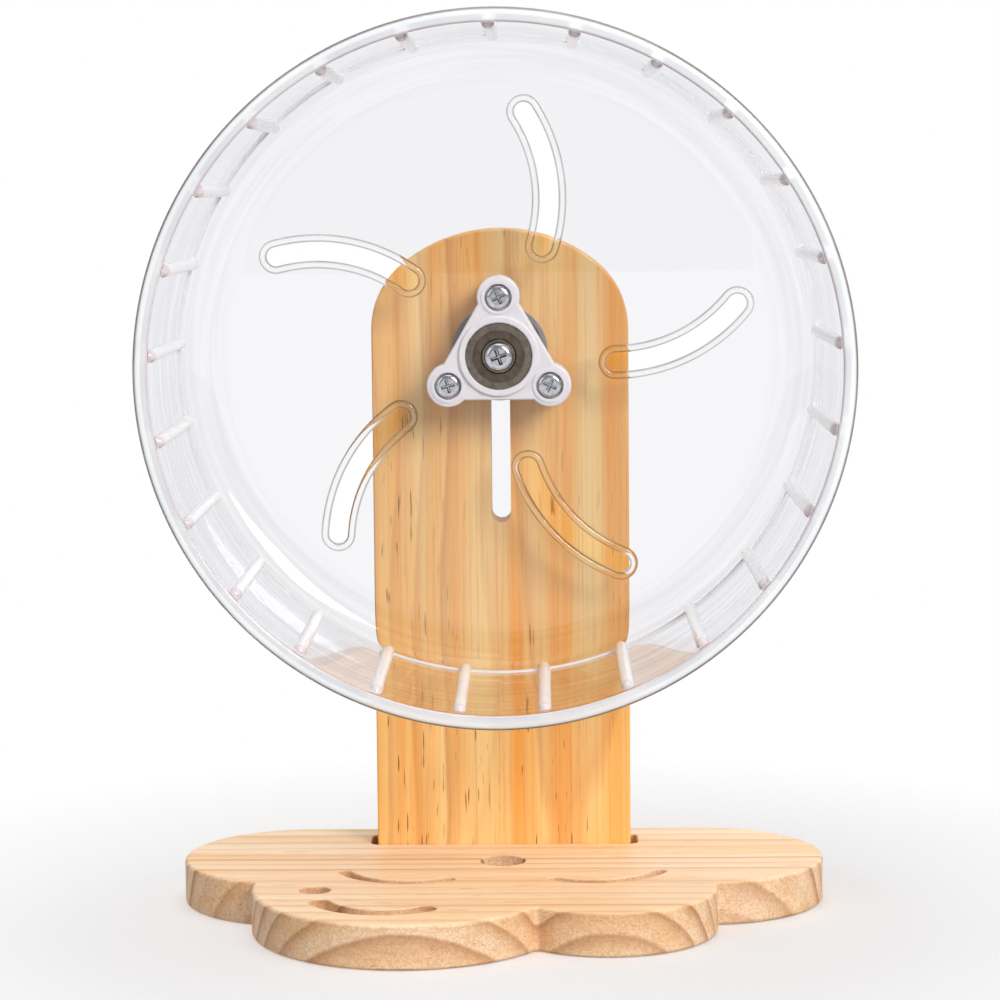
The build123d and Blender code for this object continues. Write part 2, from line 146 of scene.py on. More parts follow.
def surface_normal(tree):
    """The three numbers of the direction that the surface faces."""
    return split_xyz(tree, tree.nodes.new("ShaderNodeNewGeometry").outputs["Normal"])


def lift(tree, height, strength, depth):
    """Normal of a surface raised by a height of 0 to 1 times a depth in metres."""
    bump = add(tree, "ShaderNodeBump", in_0=strength, in_1=depth)
    return plug(tree, bump, Height=height).outputs[0]


def dress(material, *names):
    """Put one material on the only slot of each CAD node named."""
    for name in names:
        nodes[name].data.materials[0] = material


def pine_group():
    """Growth rings, fibres, clouds and resin of pine whose trunk lies along the X axis of the place.

    The ring count is the distance from the X axis, bent by slow noise and
    wandering by quick noise, over the ring width. Late wood is the third power
    of the part of the ring passed, cut off at its end, and years differ in it.
    Fibres are noise drawn out along X, clouds are broad bands along X, and
    resin is short dashes that come in patches.
    """
    inputs = (("Place", "Vector"), ("Ring Width", "Float"), ("Bend", "Float"))
    group, start, end = new_group("pine", inputs, ("Late Wood", "Fibre", "Cloud", "Resin", "Height"))
    place, ring_width, bend = start.outputs[:3]
    _, y, z = split_xyz(group, place)
    square_y = math_node(group, "MULTIPLY", y, y)
    square_z = math_node(group, "MULTIPLY", z, z)
    distance = math_node(group, "SQRT", math_node(group, "ADD", square_y, square_z))
    slow = swing(group, noise(group, place, (2.2, 9.0, 9.0), 1.0, 2.0), bend)
    quick = swing(group, noise(group, place, (18.0, 90.0, 90.0), 1.0, 3.0, (3.1, 0, 0)), 0.0016)
    distance = math_node(group, "ADD", math_node(group, "ADD", distance, slow), quick)
    count = math_node(group, "DIVIDE", distance, ring_width)
    ring = math_node(group, "FRACT", count)
    rise = math_node(group, "POWER", ring, 3.0)
    fall = past(group, ring, 1.0, -9.0)
    year_place = group.nodes.new("ShaderNodeCombineXYZ")
    group.links.new(count, year_place.inputs[0])
    year = past(group, noise(group, year_place.outputs[0], (1, 1, 1), 0.6, 1.0), 0.34, 3.2)
    late = math_node(group, "MULTIPLY", math_node(group, "MULTIPLY", rise, fall), year)
    coarse = noise(group, place, (14.0, 1500.0, 1500.0), 1.0, 3.0)
    fine = noise(group, place, (60.0, 5000.0, 5000.0), 1.0, 2.0)
    coarse_share = math_node(group, "MULTIPLY", coarse, 0.6)
    fibre = math_node(group, "ADD", coarse_share, math_node(group, "MULTIPLY", fine, 0.4))
    cloud = noise(group, place, (3.0, 105.0, 105.0), 1.0, 2.0, (0, 7.7, 0))
    dash = past(group, noise(group, place, (70.0, 900.0, 900.0), 1.0, 1.0, (0, 3.3, 5.1)), 0.665, 16.0)
    patch = past(group, noise(group, place, (9.0, 45.0, 45.0), 1.0, 1.0, (2.2, 0, 0)), 0.39, 6.0)
    resin = math_node(group, "MULTIPLY", dash, patch)
    height = math_node(group, "SUBTRACT", math_node(group, "MULTIPLY", late, 0.5), fibre)
    plug(group, end, Late_Wood=late, Fibre=fibre, Cloud=cloud, Resin=resin, Height=height)
    return group


def saw_group():
    """Short curly marks of a saw: where noise at the place comes within 0.07 of a half."""
    group, start, end = new_group("saw marks", (("Place", "Vector"),), ("Marks",))
    curls = noise(group, start.outputs["Place"], (1, 1, 1), 620.0, 3.0)
    from_half = math_node(group, "ABSOLUTE", math_node(group, "SUBTRACT", curls, 0.5))
    plug(group, end, Marks=past(group, from_half, 0.07, -12.0))
    return group


pine = pine_group()
saw_marks = saw_group()


def pine_material(
    name, centre, turn, ring_width, bend, colours, strength, face_axis, painted_wall_shade, wall_rings
):
    """Lacquered pine: pale early wood, darker late wood, warm clouds, fine fibres and resin dashes.

    The trunk's middle is found by shifting and turning the place. Faces turned
    away from the face axis are sawn walls, with rings and saw marks of their
    own, and painted shade that darkens them.
    """
    early, late, warm = colours
    rings, fibres, resin = strength
    material, tree, shader, place = new_material(name)
    mapping = add(tree, "ShaderNodeMapping", in_1=centre, in_2=turn)
    tree.links.new(place, mapping.inputs[0])
    grain = add(tree, "ShaderNodeGroup", node_tree=pine)
    plug(tree, grain, Place=mapping.outputs[0], Ring_Width=ring_width, Bend=bend)
    cloud = ramp(tree, grain.outputs["Cloud"], 0.36, 0.64)
    colour = blend_colours(tree, cloud, early, warm)
    late_mask = math_node(tree, "MULTIPLY", grain.outputs["Late Wood"], rings)
    colour = blend_colours(tree, late_mask, colour, late)
    fibre_mask = ramp(tree, grain.outputs["Fibre"], 0.5, 0.72, last=fibres)
    colour = blend_colours(tree, fibre_mask, colour, late)
    resin_mask = math_node(tree, "MULTIPLY", grain.outputs["Resin"], resin)
    colour = blend_colours(tree, resin_mask, colour, linear(150, 84, 34))
    flat = math_node(tree, "ABSOLUTE", surface_normal(tree)["XYZ".index(face_axis)])
    wall = past(tree, flat, 0.8, -2.5)
    marks = plug(tree, add(tree, "ShaderNodeGroup", node_tree=saw_marks), Place=place)
    rough_wall = math_node(tree, "MULTIPLY", marks.outputs["Marks"], wall)
    # Painted shade: the sawn walls are darkened towards the late wood.
    colour = blend_colours(tree, math_node(tree, "MULTIPLY", wall, painted_wall_shade), colour, late)
    colour = blend_colours(tree, math_node(tree, "MULTIPLY", rough_wall, 0.45), colour, late)
    ring_on_wall = math_node(tree, "MULTIPLY", grain.outputs["Late Wood"], wall)
    ring_on_wall = math_node(tree, "MULTIPLY", ring_on_wall, wall_rings)
    colour = blend_colours(tree, ring_on_wall, colour, linear(160, 98, 52))
    sawn_depth = math_node(tree, "MULTIPLY", rough_wall, 1.6)
    height = math_node(tree, "SUBTRACT", grain.outputs["Height"], sawn_depth)
    plug(
        tree,
        shader,
        Base_Color=colour,
        Roughness=ramp(tree, grain.outputs["Fibre"], 0.0, 1.0, 0.42, 0.6),
        Normal=lift(tree, height, 0.2, 0.0003),
        Specular_IOR_Level=0.35,
        Coat_Weight=0.08,
        Coat_Roughness=0.25,
    )
    return material


base_pine = pine_material(
    "pine_base",
    centre=(0.0, 0.15, 0.09),
    turn=(0.0, math.radians(1.2), math.radians(1.0)),
    ring_width=0.0066,
    bend=0.02,
    colours=(linear(252, 222, 186), linear(192, 122, 66), linear(244, 202, 154)),
    strength=(0.95, 0.3, 0.35),
    face_axis="Z",
    painted_wall_shade=0.1,
    wall_rings=1.1,
)
dress(base_pine, "base_board")

# Upright board
# A narrower plank of warmer orange pine with an arched top and a long slot. It
# stands in the mortise of the base, with its grain upright.
upright_pine = pine_material(
    "pine_upright",
    centre=(0.02, -0.09, 0.02),
    turn=(0.0, math.radians(90), 0.0),
    ring_width=0.0048,
    bend=0.05,
    colours=(linear(255, 214, 142), linear(206, 112, 38), linear(252, 168, 68)),
    strength=(0.9, 0.45, 1.0),
    face_axis="Y",
    painted_wall_shade=0.0,
    wall_rings=0.4,
)
dress(upright_pine, "upright_board")


# Fixings of the stand and the axle
# Zinc-plated wood screws, washer, nuts and pan head screws, and the ground
# steel spindle with its spacer.
def mottle_group():
    """Uneven tone of a plated or moulded surface: noise at the place times a stretch."""
    inputs = (("Place", "Vector"), ("Stretch", "Vector"), ("Scale", "Float"), ("Detail", "Float"))
    group, start, end = new_group("mottle", inputs, ("Mottle",))
    mapping = group.nodes.new("ShaderNodeMapping")
    plug(group, mapping, Vector=start.outputs["Place"], Scale=start.outputs["Stretch"])
    texture = group.nodes.new("ShaderNodeTexNoise")
    scale, detail = start.outputs["Scale"], start.outputs["Detail"]
    plug(group, texture, Vector=mapping.outputs[0], Scale=scale, Detail=detail)
    plug(group, end, Mottle=texture.outputs[0])
    return group


mottle = mottle_group()


def mottled(tree, place, scale, detail, stretch=(1, 1, 1)):
    """Mask of 0 to 1 from the mottle group, with this finish's scale, detail and stretch."""
    node = add(tree, "ShaderNodeGroup", node_tree=mottle)
    plug(tree, node, Place=place, Stretch=stretch, Scale=scale, Detail=detail)
    return node.outputs["Mottle"]


def steel_material(name, bright, dark, rough, stretch):
    """Metal with a fine uneven film, drawn out by a stretch, that tones the colour and the gloss."""
    material, tree, shader, place = new_material(name)
    film = mottled(tree, place, 1.0, 4.0, stretch)
    tone = blend_colours(tree, film, dark, bright)
    plug(tree, shader, Base_Color=tone, Roughness=ramp(tree, film, 0.0, 1.0, *rough), Metallic=1.0)
    return material


zinc_light, zinc_dark = linear(232, 233, 236), linear(160, 162, 168)
ground_light, ground_dark = linear(215, 215, 217), linear(160, 160, 163)
zinc = steel_material("zinc_steel", zinc_light, zinc_dark, (0.12, 0.3), (700, 700, 700))
ground_steel = steel_material("bright_steel", ground_light, ground_dark, (0.14, 0.3), (90, 2600, 90))
dress(zinc, "upright_screws", "rear_washer", "hub_screws", "hub_nuts", "axle_screw")
dress(ground_steel, "axle", "bearing_spacer", "front_bearing_balls", "rear_bearing_balls")


# Axle flange, clamp knob and bearing cages
# Injection moulded plastic with a fine spark-eroded grain: mid grey for the
# flange and the knob, natural nylon for the cages.
def moulded_material(name, colour, shade, rough):
    """Moulded plastic with a fine grain that lifts the surface, and painted shade a little darker in its
    hollows.
    """
    material, tree, shader, place = new_material(name)
    grain = mottled(tree, place, 2600.0, 3.0)
    # Painted shade: the colour is darker where the grain is low.
    tone = blend_colours(tree, grain, shade, colour)
    plug(tree, shader, Base_Color=tone, Normal=lift(tree, grain, 0.15, 0.0001), Roughness=rough)
    return material


grey_plastic = moulded_material("grey_plastic", linear(150, 147, 148), linear(120, 117, 119), 0.45)
knob_plastic = moulded_material("knob_plastic", linear(128, 126, 127), linear(100, 98, 100), 0.4)
nylon = moulded_material("cage_plastic", linear(226, 220, 205), linear(205, 198, 180), 0.4)
dress(grey_plastic, "axle_flange")
dress(knob_plastic, "clamp_knob")
dress(nylon, "front_bearing_cage", "rear_bearing_cage")
brass_light, brass_dark = linear(222, 190, 118), linear(184, 146, 78)
brass = steel_material("brass", brass_light, brass_dark, (0.2, 0.4), (900, 200, 900))
dress(brass, "knob_insert")

# Ball bearings
# Hardened rings with ground faces and pressed sheet shields, dark with a
# turned, streaky sheen.
ring_light, ring_dark = linear(158, 148, 138), linear(84, 74, 64)
shield_light, shield_dark = linear(132, 120, 108), linear(66, 56, 48)
ring_steel = steel_material("bearing_steel", ring_light, ring_dark, (0.18, 0.36), (500, 500, 500))
shield_steel = steel_material("shield_steel", shield_light, shield_dark, (0.25, 0.45), (420, 420, 420))
for side in ("front", "rear"):
    dress(ring_steel, f"{side}_bearing_outer_ring", f"{side}_bearing_inner_ring")
    dress(shield_steel, f"{side}_bearing_outer_shield", f"{side}_bearing_inner_shield")

# Hub cap and back plate
# Translucent white mouldings with a frosted face and three lobes, screwed
# together through the disc.
frosted, tree, shader, place = new_material("frosted_plastic")
cloudy = mottled(tree, place, 260.0, 3.0)
tone = blend_colours(tree, cloudy, linear(240, 234, 240), linear(252, 249, 251))
plug(tree, shader, Base_Color=tone, Roughness=0.38, Transmission_Weight=0.25, IOR=1.45)
dress(frosted, "hub_cap", "hub_back_plate")

# Wheel drum
# One clear moulding: the disc with its beaded spiral openings, the dished
# corner, the tapered running track with its rungs, and the rolled lip.
# Lengths are in millimetres and angles in degrees. Depths run from the open
# side, at the front edge, to the back of the disc.
metres = 0.001
axle_height = 182.5
front_edge_depth, disc_front, disc_back = -45.25, 27.75, 30.25
dish_radius, dish_width, dish_depth = 91.3, 13.0, 8.0
outer_corner = (15.4, 10.5)
ledge_depth = 19.75
track_radius, track_taper, track_length = 105.1, 2.1, 65.0
edge_round, edge_middle = 0.8, 108.0
lip_round, lip_middle = 1.7, 110.1
wall_outside = [(109.6, -41.85), (108.6, -20.0), (107.6, 0.0)]
disc_seam = 88.5
rung_count, rung_radius, rung_phase = 25, 2.0, -0.7
rung_front, rung_back_radius, rung_rise = -38.25, 104.5, 2.7
spiral_count, spiral_half_width = 5, 3.25
spiral_points = [(38.5, 22.0), (57.5, 17.0), (80.3, 6.2)]
bead_radius, bead_offset, bead_sink, bead_foot = 1.3, 1.15, 0.3, 0.91
bore_radius, screw_hole_radius, screw_circle = 9.6, 2.2, 19.35


def track_at(depth):
    """Radius of the running track: it widens evenly by its taper from the ledge to the front edge."""
    return track_radius + track_taper * (ledge_depth - depth) / track_length


def arc_rows(centre, reach, angles):
    """Points on an ellipse: the centre plus the reach times the cosine and the sine of each angle."""
    turn = np.radians(angles)
    return np.c_[centre[0] + reach[0] * np.cos(turn), centre[1] + reach[1] * np.sin(turn)]


def drum_columns():
    """Clockwise angle of every column, and its distance from the middle of the nearest rung.

    Columns crowd over a rung, at its radius times the sine of even angles, and
    are even between two rungs, where the distance is one past every rung.
    """
    pitch = 360 / rung_count
    over_rung = rung_radius * np.sin(np.radians(np.linspace(-90, 90, 13)))
    over_rung = np.r_[-rung_radius - 0.02, over_rung, rung_radius + 0.02]
    middle_radius, far_off = 105.8, 9.0
    over_angle = np.degrees(over_rung / middle_radius)
    between = np.linspace(over_angle[-1], pitch + over_angle[0], 11)[1:-1]
    angle = np.r_[over_angle, between]
    offset = np.r_[over_rung, np.full(len(between), far_off)]
    turns = pitch * np.arange(rung_count) + rung_phase
    return np.radians((turns[:, None] + angle).ravel()), np.tile(offset, rung_count)


def drum_wall():
    """Grid over dish, track, lip and back: a turned profile whose track is lifted by the rungs.

    A rung is a rod with domed ends: its surface radius is the rod's middle
    radius less the root of the rod radius squared, less the distance across
    squared, less the distance past its end squared. The track takes the
    smaller of that and its own radius.
    """
    dome = np.sin(np.radians(np.linspace(0, 90, 7)))
    dish_turn = np.degrees(np.arcsin(rung_radius / dish_depth * dome))
    dish_turn = np.r_[dish_turn, np.linspace(20, 90, 12)]
    corner_middle = (dish_radius, ledge_depth)
    dish = arc_rows(corner_middle, (dish_width, dish_depth), dish_turn)
    track_depth = np.r_[ledge_depth, 5.0, -10.0, -25.0, rung_front - rung_radius * dome, -42.0]
    track = np.c_[track_at(track_depth), track_depth]
    edge_centre = (edge_middle, front_edge_depth + edge_round)
    edge = arc_rows(edge_centre, (edge_round, edge_round), np.linspace(180, 270, 6))
    front = [(108.7, front_edge_depth), (109.6, front_edge_depth)]
    lip_centre = (lip_middle, front_edge_depth + lip_round)
    lip = arc_rows(lip_centre, (lip_round, lip_round), np.linspace(-90, 90, 16))
    corner = arc_rows(corner_middle, outer_corner, np.linspace(0, 90, 16))
    inner = np.r_[[(disc_seam, disc_front)], dish[::-1], track]
    outer = np.r_[edge, front, lip, wall_outside, corner, [(disc_seam, disc_back)]]
    angle, offset = drum_columns()
    along = inner[:, 1:2]
    share = (ledge_depth - along) / (ledge_depth - rung_front)
    middle = rung_back_radius + rung_rise * np.clip(share, 0, 1)
    beyond = np.maximum(np.maximum(rung_front - along, along - ledge_depth), 0)
    room = rung_radius**2 - beyond**2 - offset**2
    no_rod = 999.0
    rod = np.where(room > -1e-6, middle - np.sqrt(np.maximum(room, 0)), no_rod)
    inner_radius = np.minimum(inner[:, 0:1], rod)
    radius = np.r_[inner_radius, np.repeat(outer[:, 0:1], len(angle), 1)]
    depth = np.repeat(np.r_[along, outer[:, 1:2]], len(angle), 1)
    return np.stack([radius * np.sin(angle), depth, radius * np.cos(angle)], 2)


def grid_faces(rows, columns):
    """Quads of a grid whose columns close round: each joins a point to the next along both ways."""
    index = np.arange(rows * columns).reshape(rows, columns)
    right = np.roll(index, -1, axis=1)
    return np.stack([index[:-1], right[:-1], right[1:], index[1:]], 2).reshape(-1, 4)


def spiral_path():
    """Centre, radius and end angles of the arc through the first spiral's start, middle and end."""
    places = [(radius, math.radians(angle)) for radius, angle in spiral_points]
    a, b, c = (radius * complex(math.sin(turn), math.cos(turn)) for radius, turn in places)
    slope = (c - a) / (b - a)
    centre = a + (b - a) * (slope - abs(slope) ** 2) / (slope - slope.conjugate())
    start, end = (math.atan2((p - centre).imag, (p - centre).real) for p in (a, c))
    return centre, abs(a - centre), start, end


def spiral_loop(half_width, turn):
    """Closed outline of the arc widened to both sides, with round ends, turned clockwise about the axle.

    Both sides are points at the arc's radius plus and less the half width, and
    each end is a half circle of the half width about the end of the arc.
    """
    centre, radius, start, end = spiral_path()
    along = np.linspace(start, end, 40)
    cap = np.sign(end - start) * np.linspace(0, np.pi, 16)[1:-1]
    outer = centre + (radius + half_width) * np.exp(1j * along)
    end_cap = centre + radius * np.exp(1j * end) + half_width * np.exp(1j * (end + cap))
    inner = centre + (radius - half_width) * np.exp(1j * along[::-1])
    start_cap = centre + radius * np.exp(1j * start) + half_width * np.exp(1j * (start + np.pi + cap))
    loop = np.r_[outer, end_cap, inner, start_cap] * np.exp(-1j * turn)
    return np.c_[loop.real, loop.imag]


def round_loop(radius, centre, count):
    """Circle in the plane of the disc: the centre plus the radius times the sine and the cosine."""
    turn = np.linspace(0, 2 * np.pi, count, endpoint=False)
    return np.c_[centre[0] + radius * np.sin(turn), centre[1] + radius * np.cos(turn)]


def inside_loop(points, loop):
    """True where a ray to the right from a point crosses an odd number of a closed loop's edges."""
    ax, ay = loop[:, 0], loop[:, 1]
    bx, by = np.roll(ax, -1), np.roll(ay, -1)
    x, y = points[:, 0:1], points[:, 1:2]
    crosses = (ay > y) != (by > y)
    with np.errstate(divide="ignore", invalid="ignore"):
        meet = ax + (y - ay) / (by - ay) * (bx - ax)
    return (crosses & (x < meet)).sum(1) % 2 == 1


def holed_faces(outline, holes):
    """Triangles between an outline and its holes, by constrained triangulation; those in a hole go."""
    loops = [outline] + holes
    edges, first = [], 0
    for loop in loops:
        index = first + np.arange(len(loop))
        edges += np.c_[index, np.roll(index, -1)].tolist()
        first += len(loop)
    made = delaunay_2d_cdt(np.concatenate(loops).tolist(), edges, [], 0, 1e-7)
    places = np.array(made[0])
    faces = np.array(made[2])
    middle = places[faces].mean(1)
    keep = inside_loop(middle, outline)
    for hole in holes:
        keep &= ~inside_loop(middle, hole)
    return places, faces[keep]


def tube(loops, depths):
    """Sheet along a row of loops of equal count, each at its depth, with its faces."""
    rows = np.array([np.insert(loop, 1, depth, axis=1) for loop, depth in zip(loops, depths)])
    return rows, grid_faces(*rows.shape[:2])


# The bead's half round runs from the disc's front over the opening's edge, and
# the opening's wall goes on straight to the disc's back.
bead_turn = np.radians(np.linspace(13.34, 207.8, 20))
bead_out = np.r_[bead_offset + bead_radius * np.cos(bead_turn), 0.0, 0.0]
bead_depth = disc_front + bead_sink - bead_radius * np.sin(bead_turn)
bead_depth = np.r_[bead_depth, disc_front + bead_foot, disc_back]
bead_depth[0] = disc_front
wall = drum_wall()
sheets = [(wall, grid_faces(*wall.shape[:2]))]
spiral_turns = 2 * np.pi / spiral_count * np.arange(spiral_count)
for turn in spiral_turns:
    sheets.append(tube([spiral_loop(spiral_half_width + out, turn) for out in bead_out], bead_depth))
screw_turns = np.radians([0, 120, 240])
screw_places = [(screw_circle * math.sin(t), screw_circle * math.cos(t)) for t in screw_turns]
plain_holes = [round_loop(bore_radius, (0, 0), 72)]
plain_holes += [round_loop(screw_hole_radius, place, 24) for place in screw_places]
for hole in plain_holes:
    sheets.append(tube([hole, hole], (disc_front, disc_back)))
disc_outline = wall[0][:, [0, 2]]
for depth, widen in ((disc_front, bead_out[0]), (disc_back, 0.0)):
    spirals = [spiral_loop(spiral_half_width + widen, turn) for turn in spiral_turns]
    flat, made = holed_faces(disc_outline, plain_holes + spirals)
    sheets.append((np.insert(flat, 1, depth, axis=1), made))

faces, total = [], 0
for sheet, made in sheets:
    faces += (made + total).tolist()
    total += sheet.size // 3
points = np.concatenate([sheet.reshape(-1, 3) for sheet, _ in sheets]) * metres
points += (0, 0, axle_height * metres)
drum_mesh = bpy.data.meshes.new("clear_drum")
drum_mesh.from_pydata(points.tolist(), [], faces)
joined = bmesh.new()
joined.from_mesh(drum_mesh)
bmesh.ops.remove_doubles(joined, verts=joined.verts, dist=1e-6)
bmesh.ops.dissolve_degenerate(joined, edges=joined.edges, dist=1e-7)
bmesh.ops.recalc_face_normals(joined, faces=joined.faces)
joined.to_mesh(drum_mesh)
joined.free()
drum_mesh.shade_smooth()
drum_mesh.set_sharp_from_angle(angle=math.radians(35))
drum = bpy.data.objects.new("clear_drum", drum_mesh)
bpy.context.scene.collection.objects.link(drum)
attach(drum, "wheel")
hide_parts("wheel_drum")


def within(value, low, high):
    """True where a value is between two others."""
    return (value > low) & (value < high)


def drum_finishes(middles):
    """Finish of each face by its middle: 1 front edge and lip, 2 rungs and ledge, 3 beads, else 0."""
    distance = np.hypot(middles[:, 0], middles[:, 2])
    depth = middles[:, 1]
    edge_back, lip_back, lip_side = -44.3, -41.9, 110.9
    front_edge = (depth < edge_back) | ((depth < lip_back) & (distance > lip_side))
    rung_tip, rung_lift = -41.0, 0.03
    on_rung = within(depth, rung_tip, 19.74) & (distance < track_at(depth) - rung_lift)
    on_ledge = (abs(depth - ledge_depth) < 0.01) & within(distance, 104.2, 105.2)
    rung_back = within(depth, 19.76, 21.8) & (distance < 103.6)
    bead_front = within(depth, disc_front - 1.1, disc_front - 0.002) & (distance < 87.5)
    bead_wall = within(depth, disc_front + 0.002, disc_front + 0.9) & within(distance, 30, 84)
    kind = np.zeros(len(depth), np.int32)
    kind[front_edge] = 1
    kind[on_rung | on_ledge | rung_back] = 2
    kind[bead_front | bead_wall] = 3
    return kind


middles = np.empty(len(drum_mesh.polygons) * 3)
drum_mesh.polygons.foreach_get("center", middles)
middles = middles.reshape(-1, 3) / metres - (0, 0, axle_height)
drum_mesh.polygons.foreach_set("material_index", drum_finishes(middles))


def about_axle(tree, place, along_axle=1):
    """Place measured from the axle, with its depth kept or, for nought, left out."""
    scale = (1, along_axle, 1)
    mapping = add(tree, "ShaderNodeMapping", in_1=(0, 0, -axle_height * metres), in_3=scale)
    tree.links.new(place, mapping.inputs[0])
    return mapping.outputs[0]


# The clear plastic is smooth on the disc. Its dish and track have streaks round
# the axle, from noise at the radius, the depth and a small share of the angle.
# The streaks roughen and lift the surface, and their greyer colour, greyest on
# the track, is a painted reflection.
clear, tree, shader, place = new_material("clear_plastic")
x, depth, z = split_xyz(tree, about_axle(tree, place))
square_x = math_node(tree, "MULTIPLY", x, x)
square_z = math_node(tree, "MULTIPLY", z, z)
radius = math_node(tree, "SQRT", math_node(tree, "ADD", square_x, square_z))
angle = math_node(tree, "MULTIPLY", math_node(tree, "ARCTAN2", x, z), 0.004)
round_place = tree.nodes.new("ShaderNodeCombineXYZ")
for socket, value in zip(round_place.inputs, (radius, depth, angle)):
    tree.links.new(value, socket)
streak = mottled(tree, round_place.outputs[0], 420.0, 4.0)
past_disc = ramp(tree, radius, 0.088, 0.096)
on_track = ramp(tree, radius, 0.1043, 0.1049)
streak_past_disc = math_node(tree, "MULTIPLY", streak, past_disc)
# Painted reflection: grey streak colour, darker on the track.
painted_reflection_tone = blend_colours(tree, on_track, linear(236, 236, 240), linear(222, 222, 228))
film = math_node(tree, "MULTIPLY", ramp(tree, streak, 0.62, 0.4), past_disc)
plug(
    tree,
    shader,
    Base_Color=blend_colours(tree, film, linear(246, 246, 248), painted_reflection_tone),
    Roughness=ramp(tree, streak_past_disc, 0.35, 0.75, 0.0, 0.02),
    Normal=lift(tree, streak_past_disc, 0.06, 0.0002),
    Transmission_Weight=0.99,
    IOR=1.38,
)
path = tree.nodes.new("ShaderNodeLightPath")
soft_rays = math_node(tree, "MAXIMUM", path.outputs["Is Shadow Ray"], path.outputs["Is Diffuse Ray"])
through = add(tree, "ShaderNodeBsdfTransparent", in_0=linear(247, 247, 249))
mix = tree.nodes.new("ShaderNodeMixShader")
for socket, value in zip(mix.inputs, (soft_rays, shader.outputs[0], through.outputs[0])):
    tree.links.new(value, socket)
tree.links.new(mix.outputs[0], tree.nodes["Material Output"].inputs[0])
drum_mesh.materials.append(clear)

# The cut edge of the moulding gathers light, and that light is painted into its
# colour: a mauve line of painted light inside, a pale lip of painted highlight,
# and a dark line of painted shade where the lip turns back.
rim, tree, shader, place = new_material("clear_rim")
distance = add(tree, "ShaderNodeVectorMath", operation="LENGTH")
tree.links.new(about_axle(tree, place, 0), distance.inputs[0])
radius = distance.outputs["Value"]
patch = mottled(tree, place, 50.0, 3.0)
painted_edge_light = blend_colours(tree, patch, linear(210, 194, 200), linear(250, 242, 245))
painted_lip_highlight = blend_colours(tree, patch, linear(226, 231, 236), linear(255, 255, 255))
# Painted shade: the dark line where the lip turns back.
dark = blend_colours(tree, patch, linear(84, 78, 70), linear(150, 146, 138))
tone = blend_colours(tree, ramp(tree, radius, 0.1076, 0.1081), painted_edge_light, painted_lip_highlight)
tone = blend_colours(tree, ramp(tree, radius, 0.1107, 0.1113), tone, dark)
plug(tree, shader, Base_Color=tone, Roughness=0.1, Transmission_Weight=0.2, IOR=1.49)
drum_mesh.materials.append(rim)

# The rungs are solid rods, painted milky with the light inside them and
# painted mauve at the front tip with the light gathered there.
rung, tree, shader, place = new_material("clear_rung")
painted_inner_light = mottled(tree, place, 220.0, 3.0)
tone = blend_colours(tree, painted_inner_light, linear(238, 239, 242), linear(255, 255, 255))
# Painted light: the front tip is mauve with light gathered in the rod.
painted_tip_light = ramp(tree, split_xyz(tree, place)[1], -0.036, -0.0385)
tone = blend_colours(tree, painted_tip_light, tone, linear(232, 218, 221))
plug(tree, shader, Base_Color=tone, Roughness=0.05, Transmission_Weight=0.15, IOR=1.45)
drum_mesh.materials.append(rung)

# The beads round the spiral openings are painted grey where their surface is
# steep, as painted shade.
bead, tree, shader, place = new_material("clear_bead")
painted_steep_shade = ramp(tree, math_node(tree, "ABSOLUTE", surface_normal(tree)[1]), 0.94, 0.7)
patch = mottled(tree, place, 120.0, 2.0)
edge = blend_colours(tree, patch, linear(84, 86, 82), linear(184, 186, 182))
# Painted shade: grey in patches where the bead is steep.
tone = blend_colours(tree, painted_steep_shade, linear(250, 250, 252), edge)
plug(tree, shader, Base_Color=tone, Roughness=0.02, Transmission_Weight=0.97, IOR=1.4)
drum_mesh.materials.append(bead)


# Studio
# A pale floor that keeps the object's shadow, a white surround and soft lamps,
# the largest in front at the right.
def white_rays(tree):
    """One where a ray comes from the camera, a reflection or a refraction, and nought elsewhere."""
    path = tree.nodes.new("ShaderNodeLightPath")
    straight = math_node(tree, "MAXIMUM", path.outputs["Is Camera Ray"], path.outputs["Is Glossy Ray"])
    return math_node(tree, "MAXIMUM", straight, path.outputs["Is Transmission Ray"])


floor_reach = 4
corners = [(-1, -1), (1, -1), (1, 1), (-1, 1)]
floor_mesh = bpy.data.meshes.new("floor")
floor_mesh.from_pydata([(x * floor_reach, y * floor_reach, 0) for x, y in corners], [], [(0, 1, 2, 3)])
floor = bpy.data.objects.new("floor", floor_mesh)
bpy.context.scene.collection.objects.link(floor)
floor_material, tree, shader, place = new_material("floor")
tree.nodes.remove(shader)
matt = add(tree, "ShaderNodeBsdfDiffuse", in_0=linear(240, 240, 241))
glow = add(tree, "ShaderNodeEmission", in_0=(1, 1, 1, 1))
both = tree.nodes.new("ShaderNodeAddShader")
plain = add(tree, "ShaderNodeEmission", in_0=(1, 1, 1, 1))
reach = add(tree, "ShaderNodeVectorMath", operation="LENGTH")
tree.links.new(place, reach.inputs[0])
far = ramp(tree, reach.outputs["Value"], 0.13, 0.26)
seen = white_rays(tree)
plug(tree, glow, Strength=math_node(tree, "MULTIPLY", seen, 0.36))
plug(tree, plain, Strength=seen)
tree.links.new(matt.outputs[0], both.inputs[0])
tree.links.new(glow.outputs[0], both.inputs[1])
mix = tree.nodes.new("ShaderNodeMixShader")
far_seen = math_node(tree, "MULTIPLY", far, seen)
for socket, value in zip(mix.inputs, (far_seen, both.outputs[0], plain.outputs[0])):
    tree.links.new(value, socket)
tree.links.new(mix.outputs[0], tree.nodes["Material Output"].inputs[0])
floor_mesh.materials.append(floor_material)

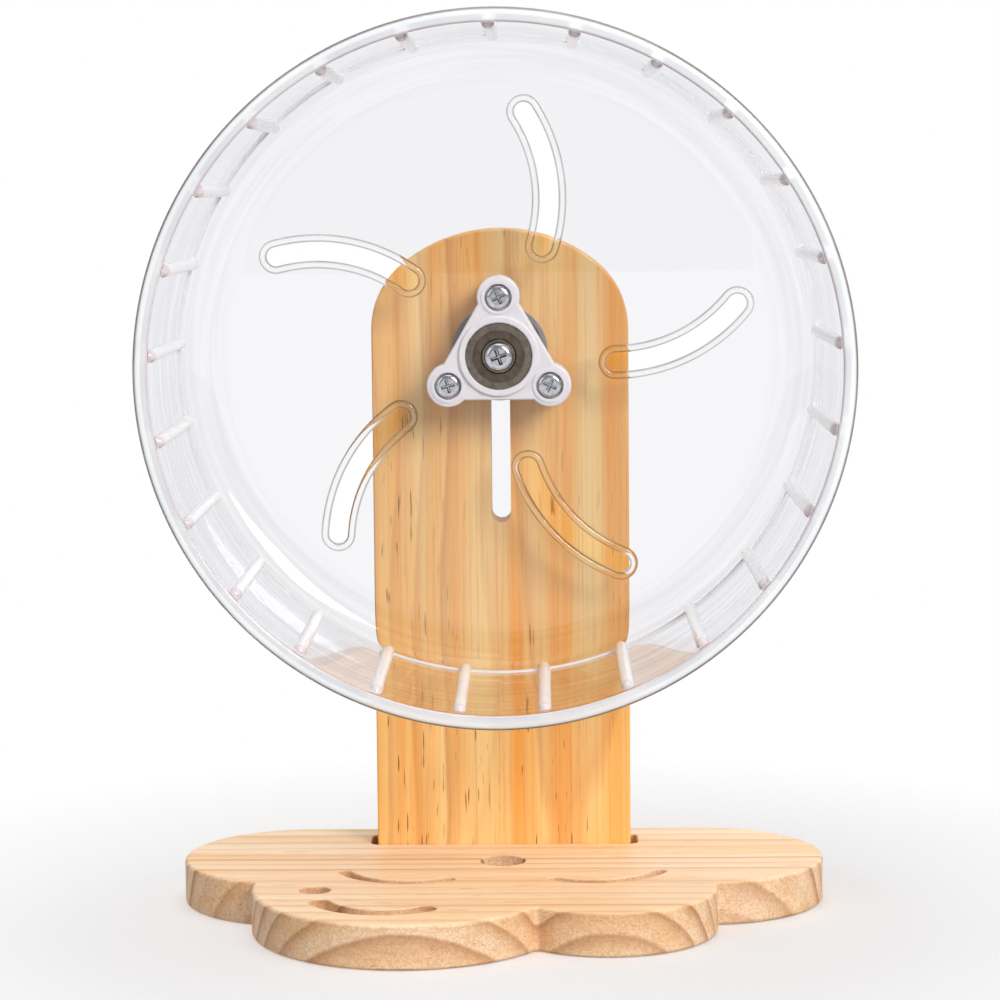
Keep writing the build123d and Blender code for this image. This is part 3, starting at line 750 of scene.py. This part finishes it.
# What the object reflects is dim in front and white behind, and the camera
# sees plain white.
dim = 0.3
world = bpy.data.worlds.new("surround")
world.use_nodes = True
bpy.context.scene.world = world
tree = world.node_tree
background = tree.nodes["Background"]
background.inputs["Color"].default_value = (1, 1, 1, 1)
direction = split_xyz(tree, tree.nodes.new("ShaderNodeTexCoord").outputs["Generated"])
behind = add(tree, "ShaderNodeMapRange", in_1=-0.2, in_2=0.8, in_3=dim, in_4=1.0)
behind.interpolation_type = "SMOOTHSTEP"
tree.links.new(direction[1], behind.inputs[0])
seen = white_rays(tree)
camera_ray = tree.nodes.new("ShaderNodeLightPath").outputs["Is Camera Ray"]
shown = math_node(tree, "MAXIMUM", behind.outputs[0], camera_ray)
above_dim = math_node(tree, "SUBTRACT", shown, dim)
plug(tree, background, Strength=math_node(tree, "MULTIPLY_ADD", above_dim, seen, dim))


def area_lamp(name, place, aim, size, watts):
    """Square lamp at a place, facing a point."""
    data = bpy.data.lights.new(name, "AREA")
    data.shape = "SQUARE"
    data.size = size
    data.energy = watts
    lamp = bpy.data.objects.new(name, data)
    lamp.location = place
    lamp.rotation_euler = (Vector(aim) - Vector(place)).to_track_quat("-Z", "Y").to_euler()
    bpy.context.scene.collection.objects.link(lamp)
    return lamp


key = area_lamp("key", place=(0.9, -1.2, 1.0), aim=(0, 0, 0.12), size=0.7, watts=26)
on_object = bpy.data.collections.new("lit by the key lamp")
for piece in [*nodes.values(), drum]:
    on_object.objects.link(piece)
key.light_linking.receiver_collection = on_object
area_lamp("fill", place=(-1.4, -0.9, 0.9), aim=(0, 0, 0.12), size=1.2, watts=5.5)
area_lamp("top", place=(0.1, 0.1, 1.8), aim=(0, 0, 0.1), size=1.2, watts=8.5)

picture_width, focal_length = 1000, 3159.7
pitch, yaw, roll = (math.radians(angle) for angle in (6.193, -1.132, -0.518))
camera_data = bpy.data.cameras.new("camera")
camera_data.sensor_width = 36
camera_data.lens = focal_length / picture_width * camera_data.sensor_width
camera_data.shift_y = -0.05
camera_data.clip_start = 0.05
camera = bpy.data.objects.new("camera", camera_data)
camera.location = (0.0206, -1.0129, 0.2638)
view_turn = Euler((math.pi / 2 - pitch, 0, -yaw)).to_matrix() @ Euler((0, 0, roll)).to_matrix()
camera.rotation_euler = view_turn.to_euler()
bpy.context.scene.collection.objects.link(camera)
bpy.context.scene.camera = camera
bpy.context.scene.view_settings.view_transform = "Standard"
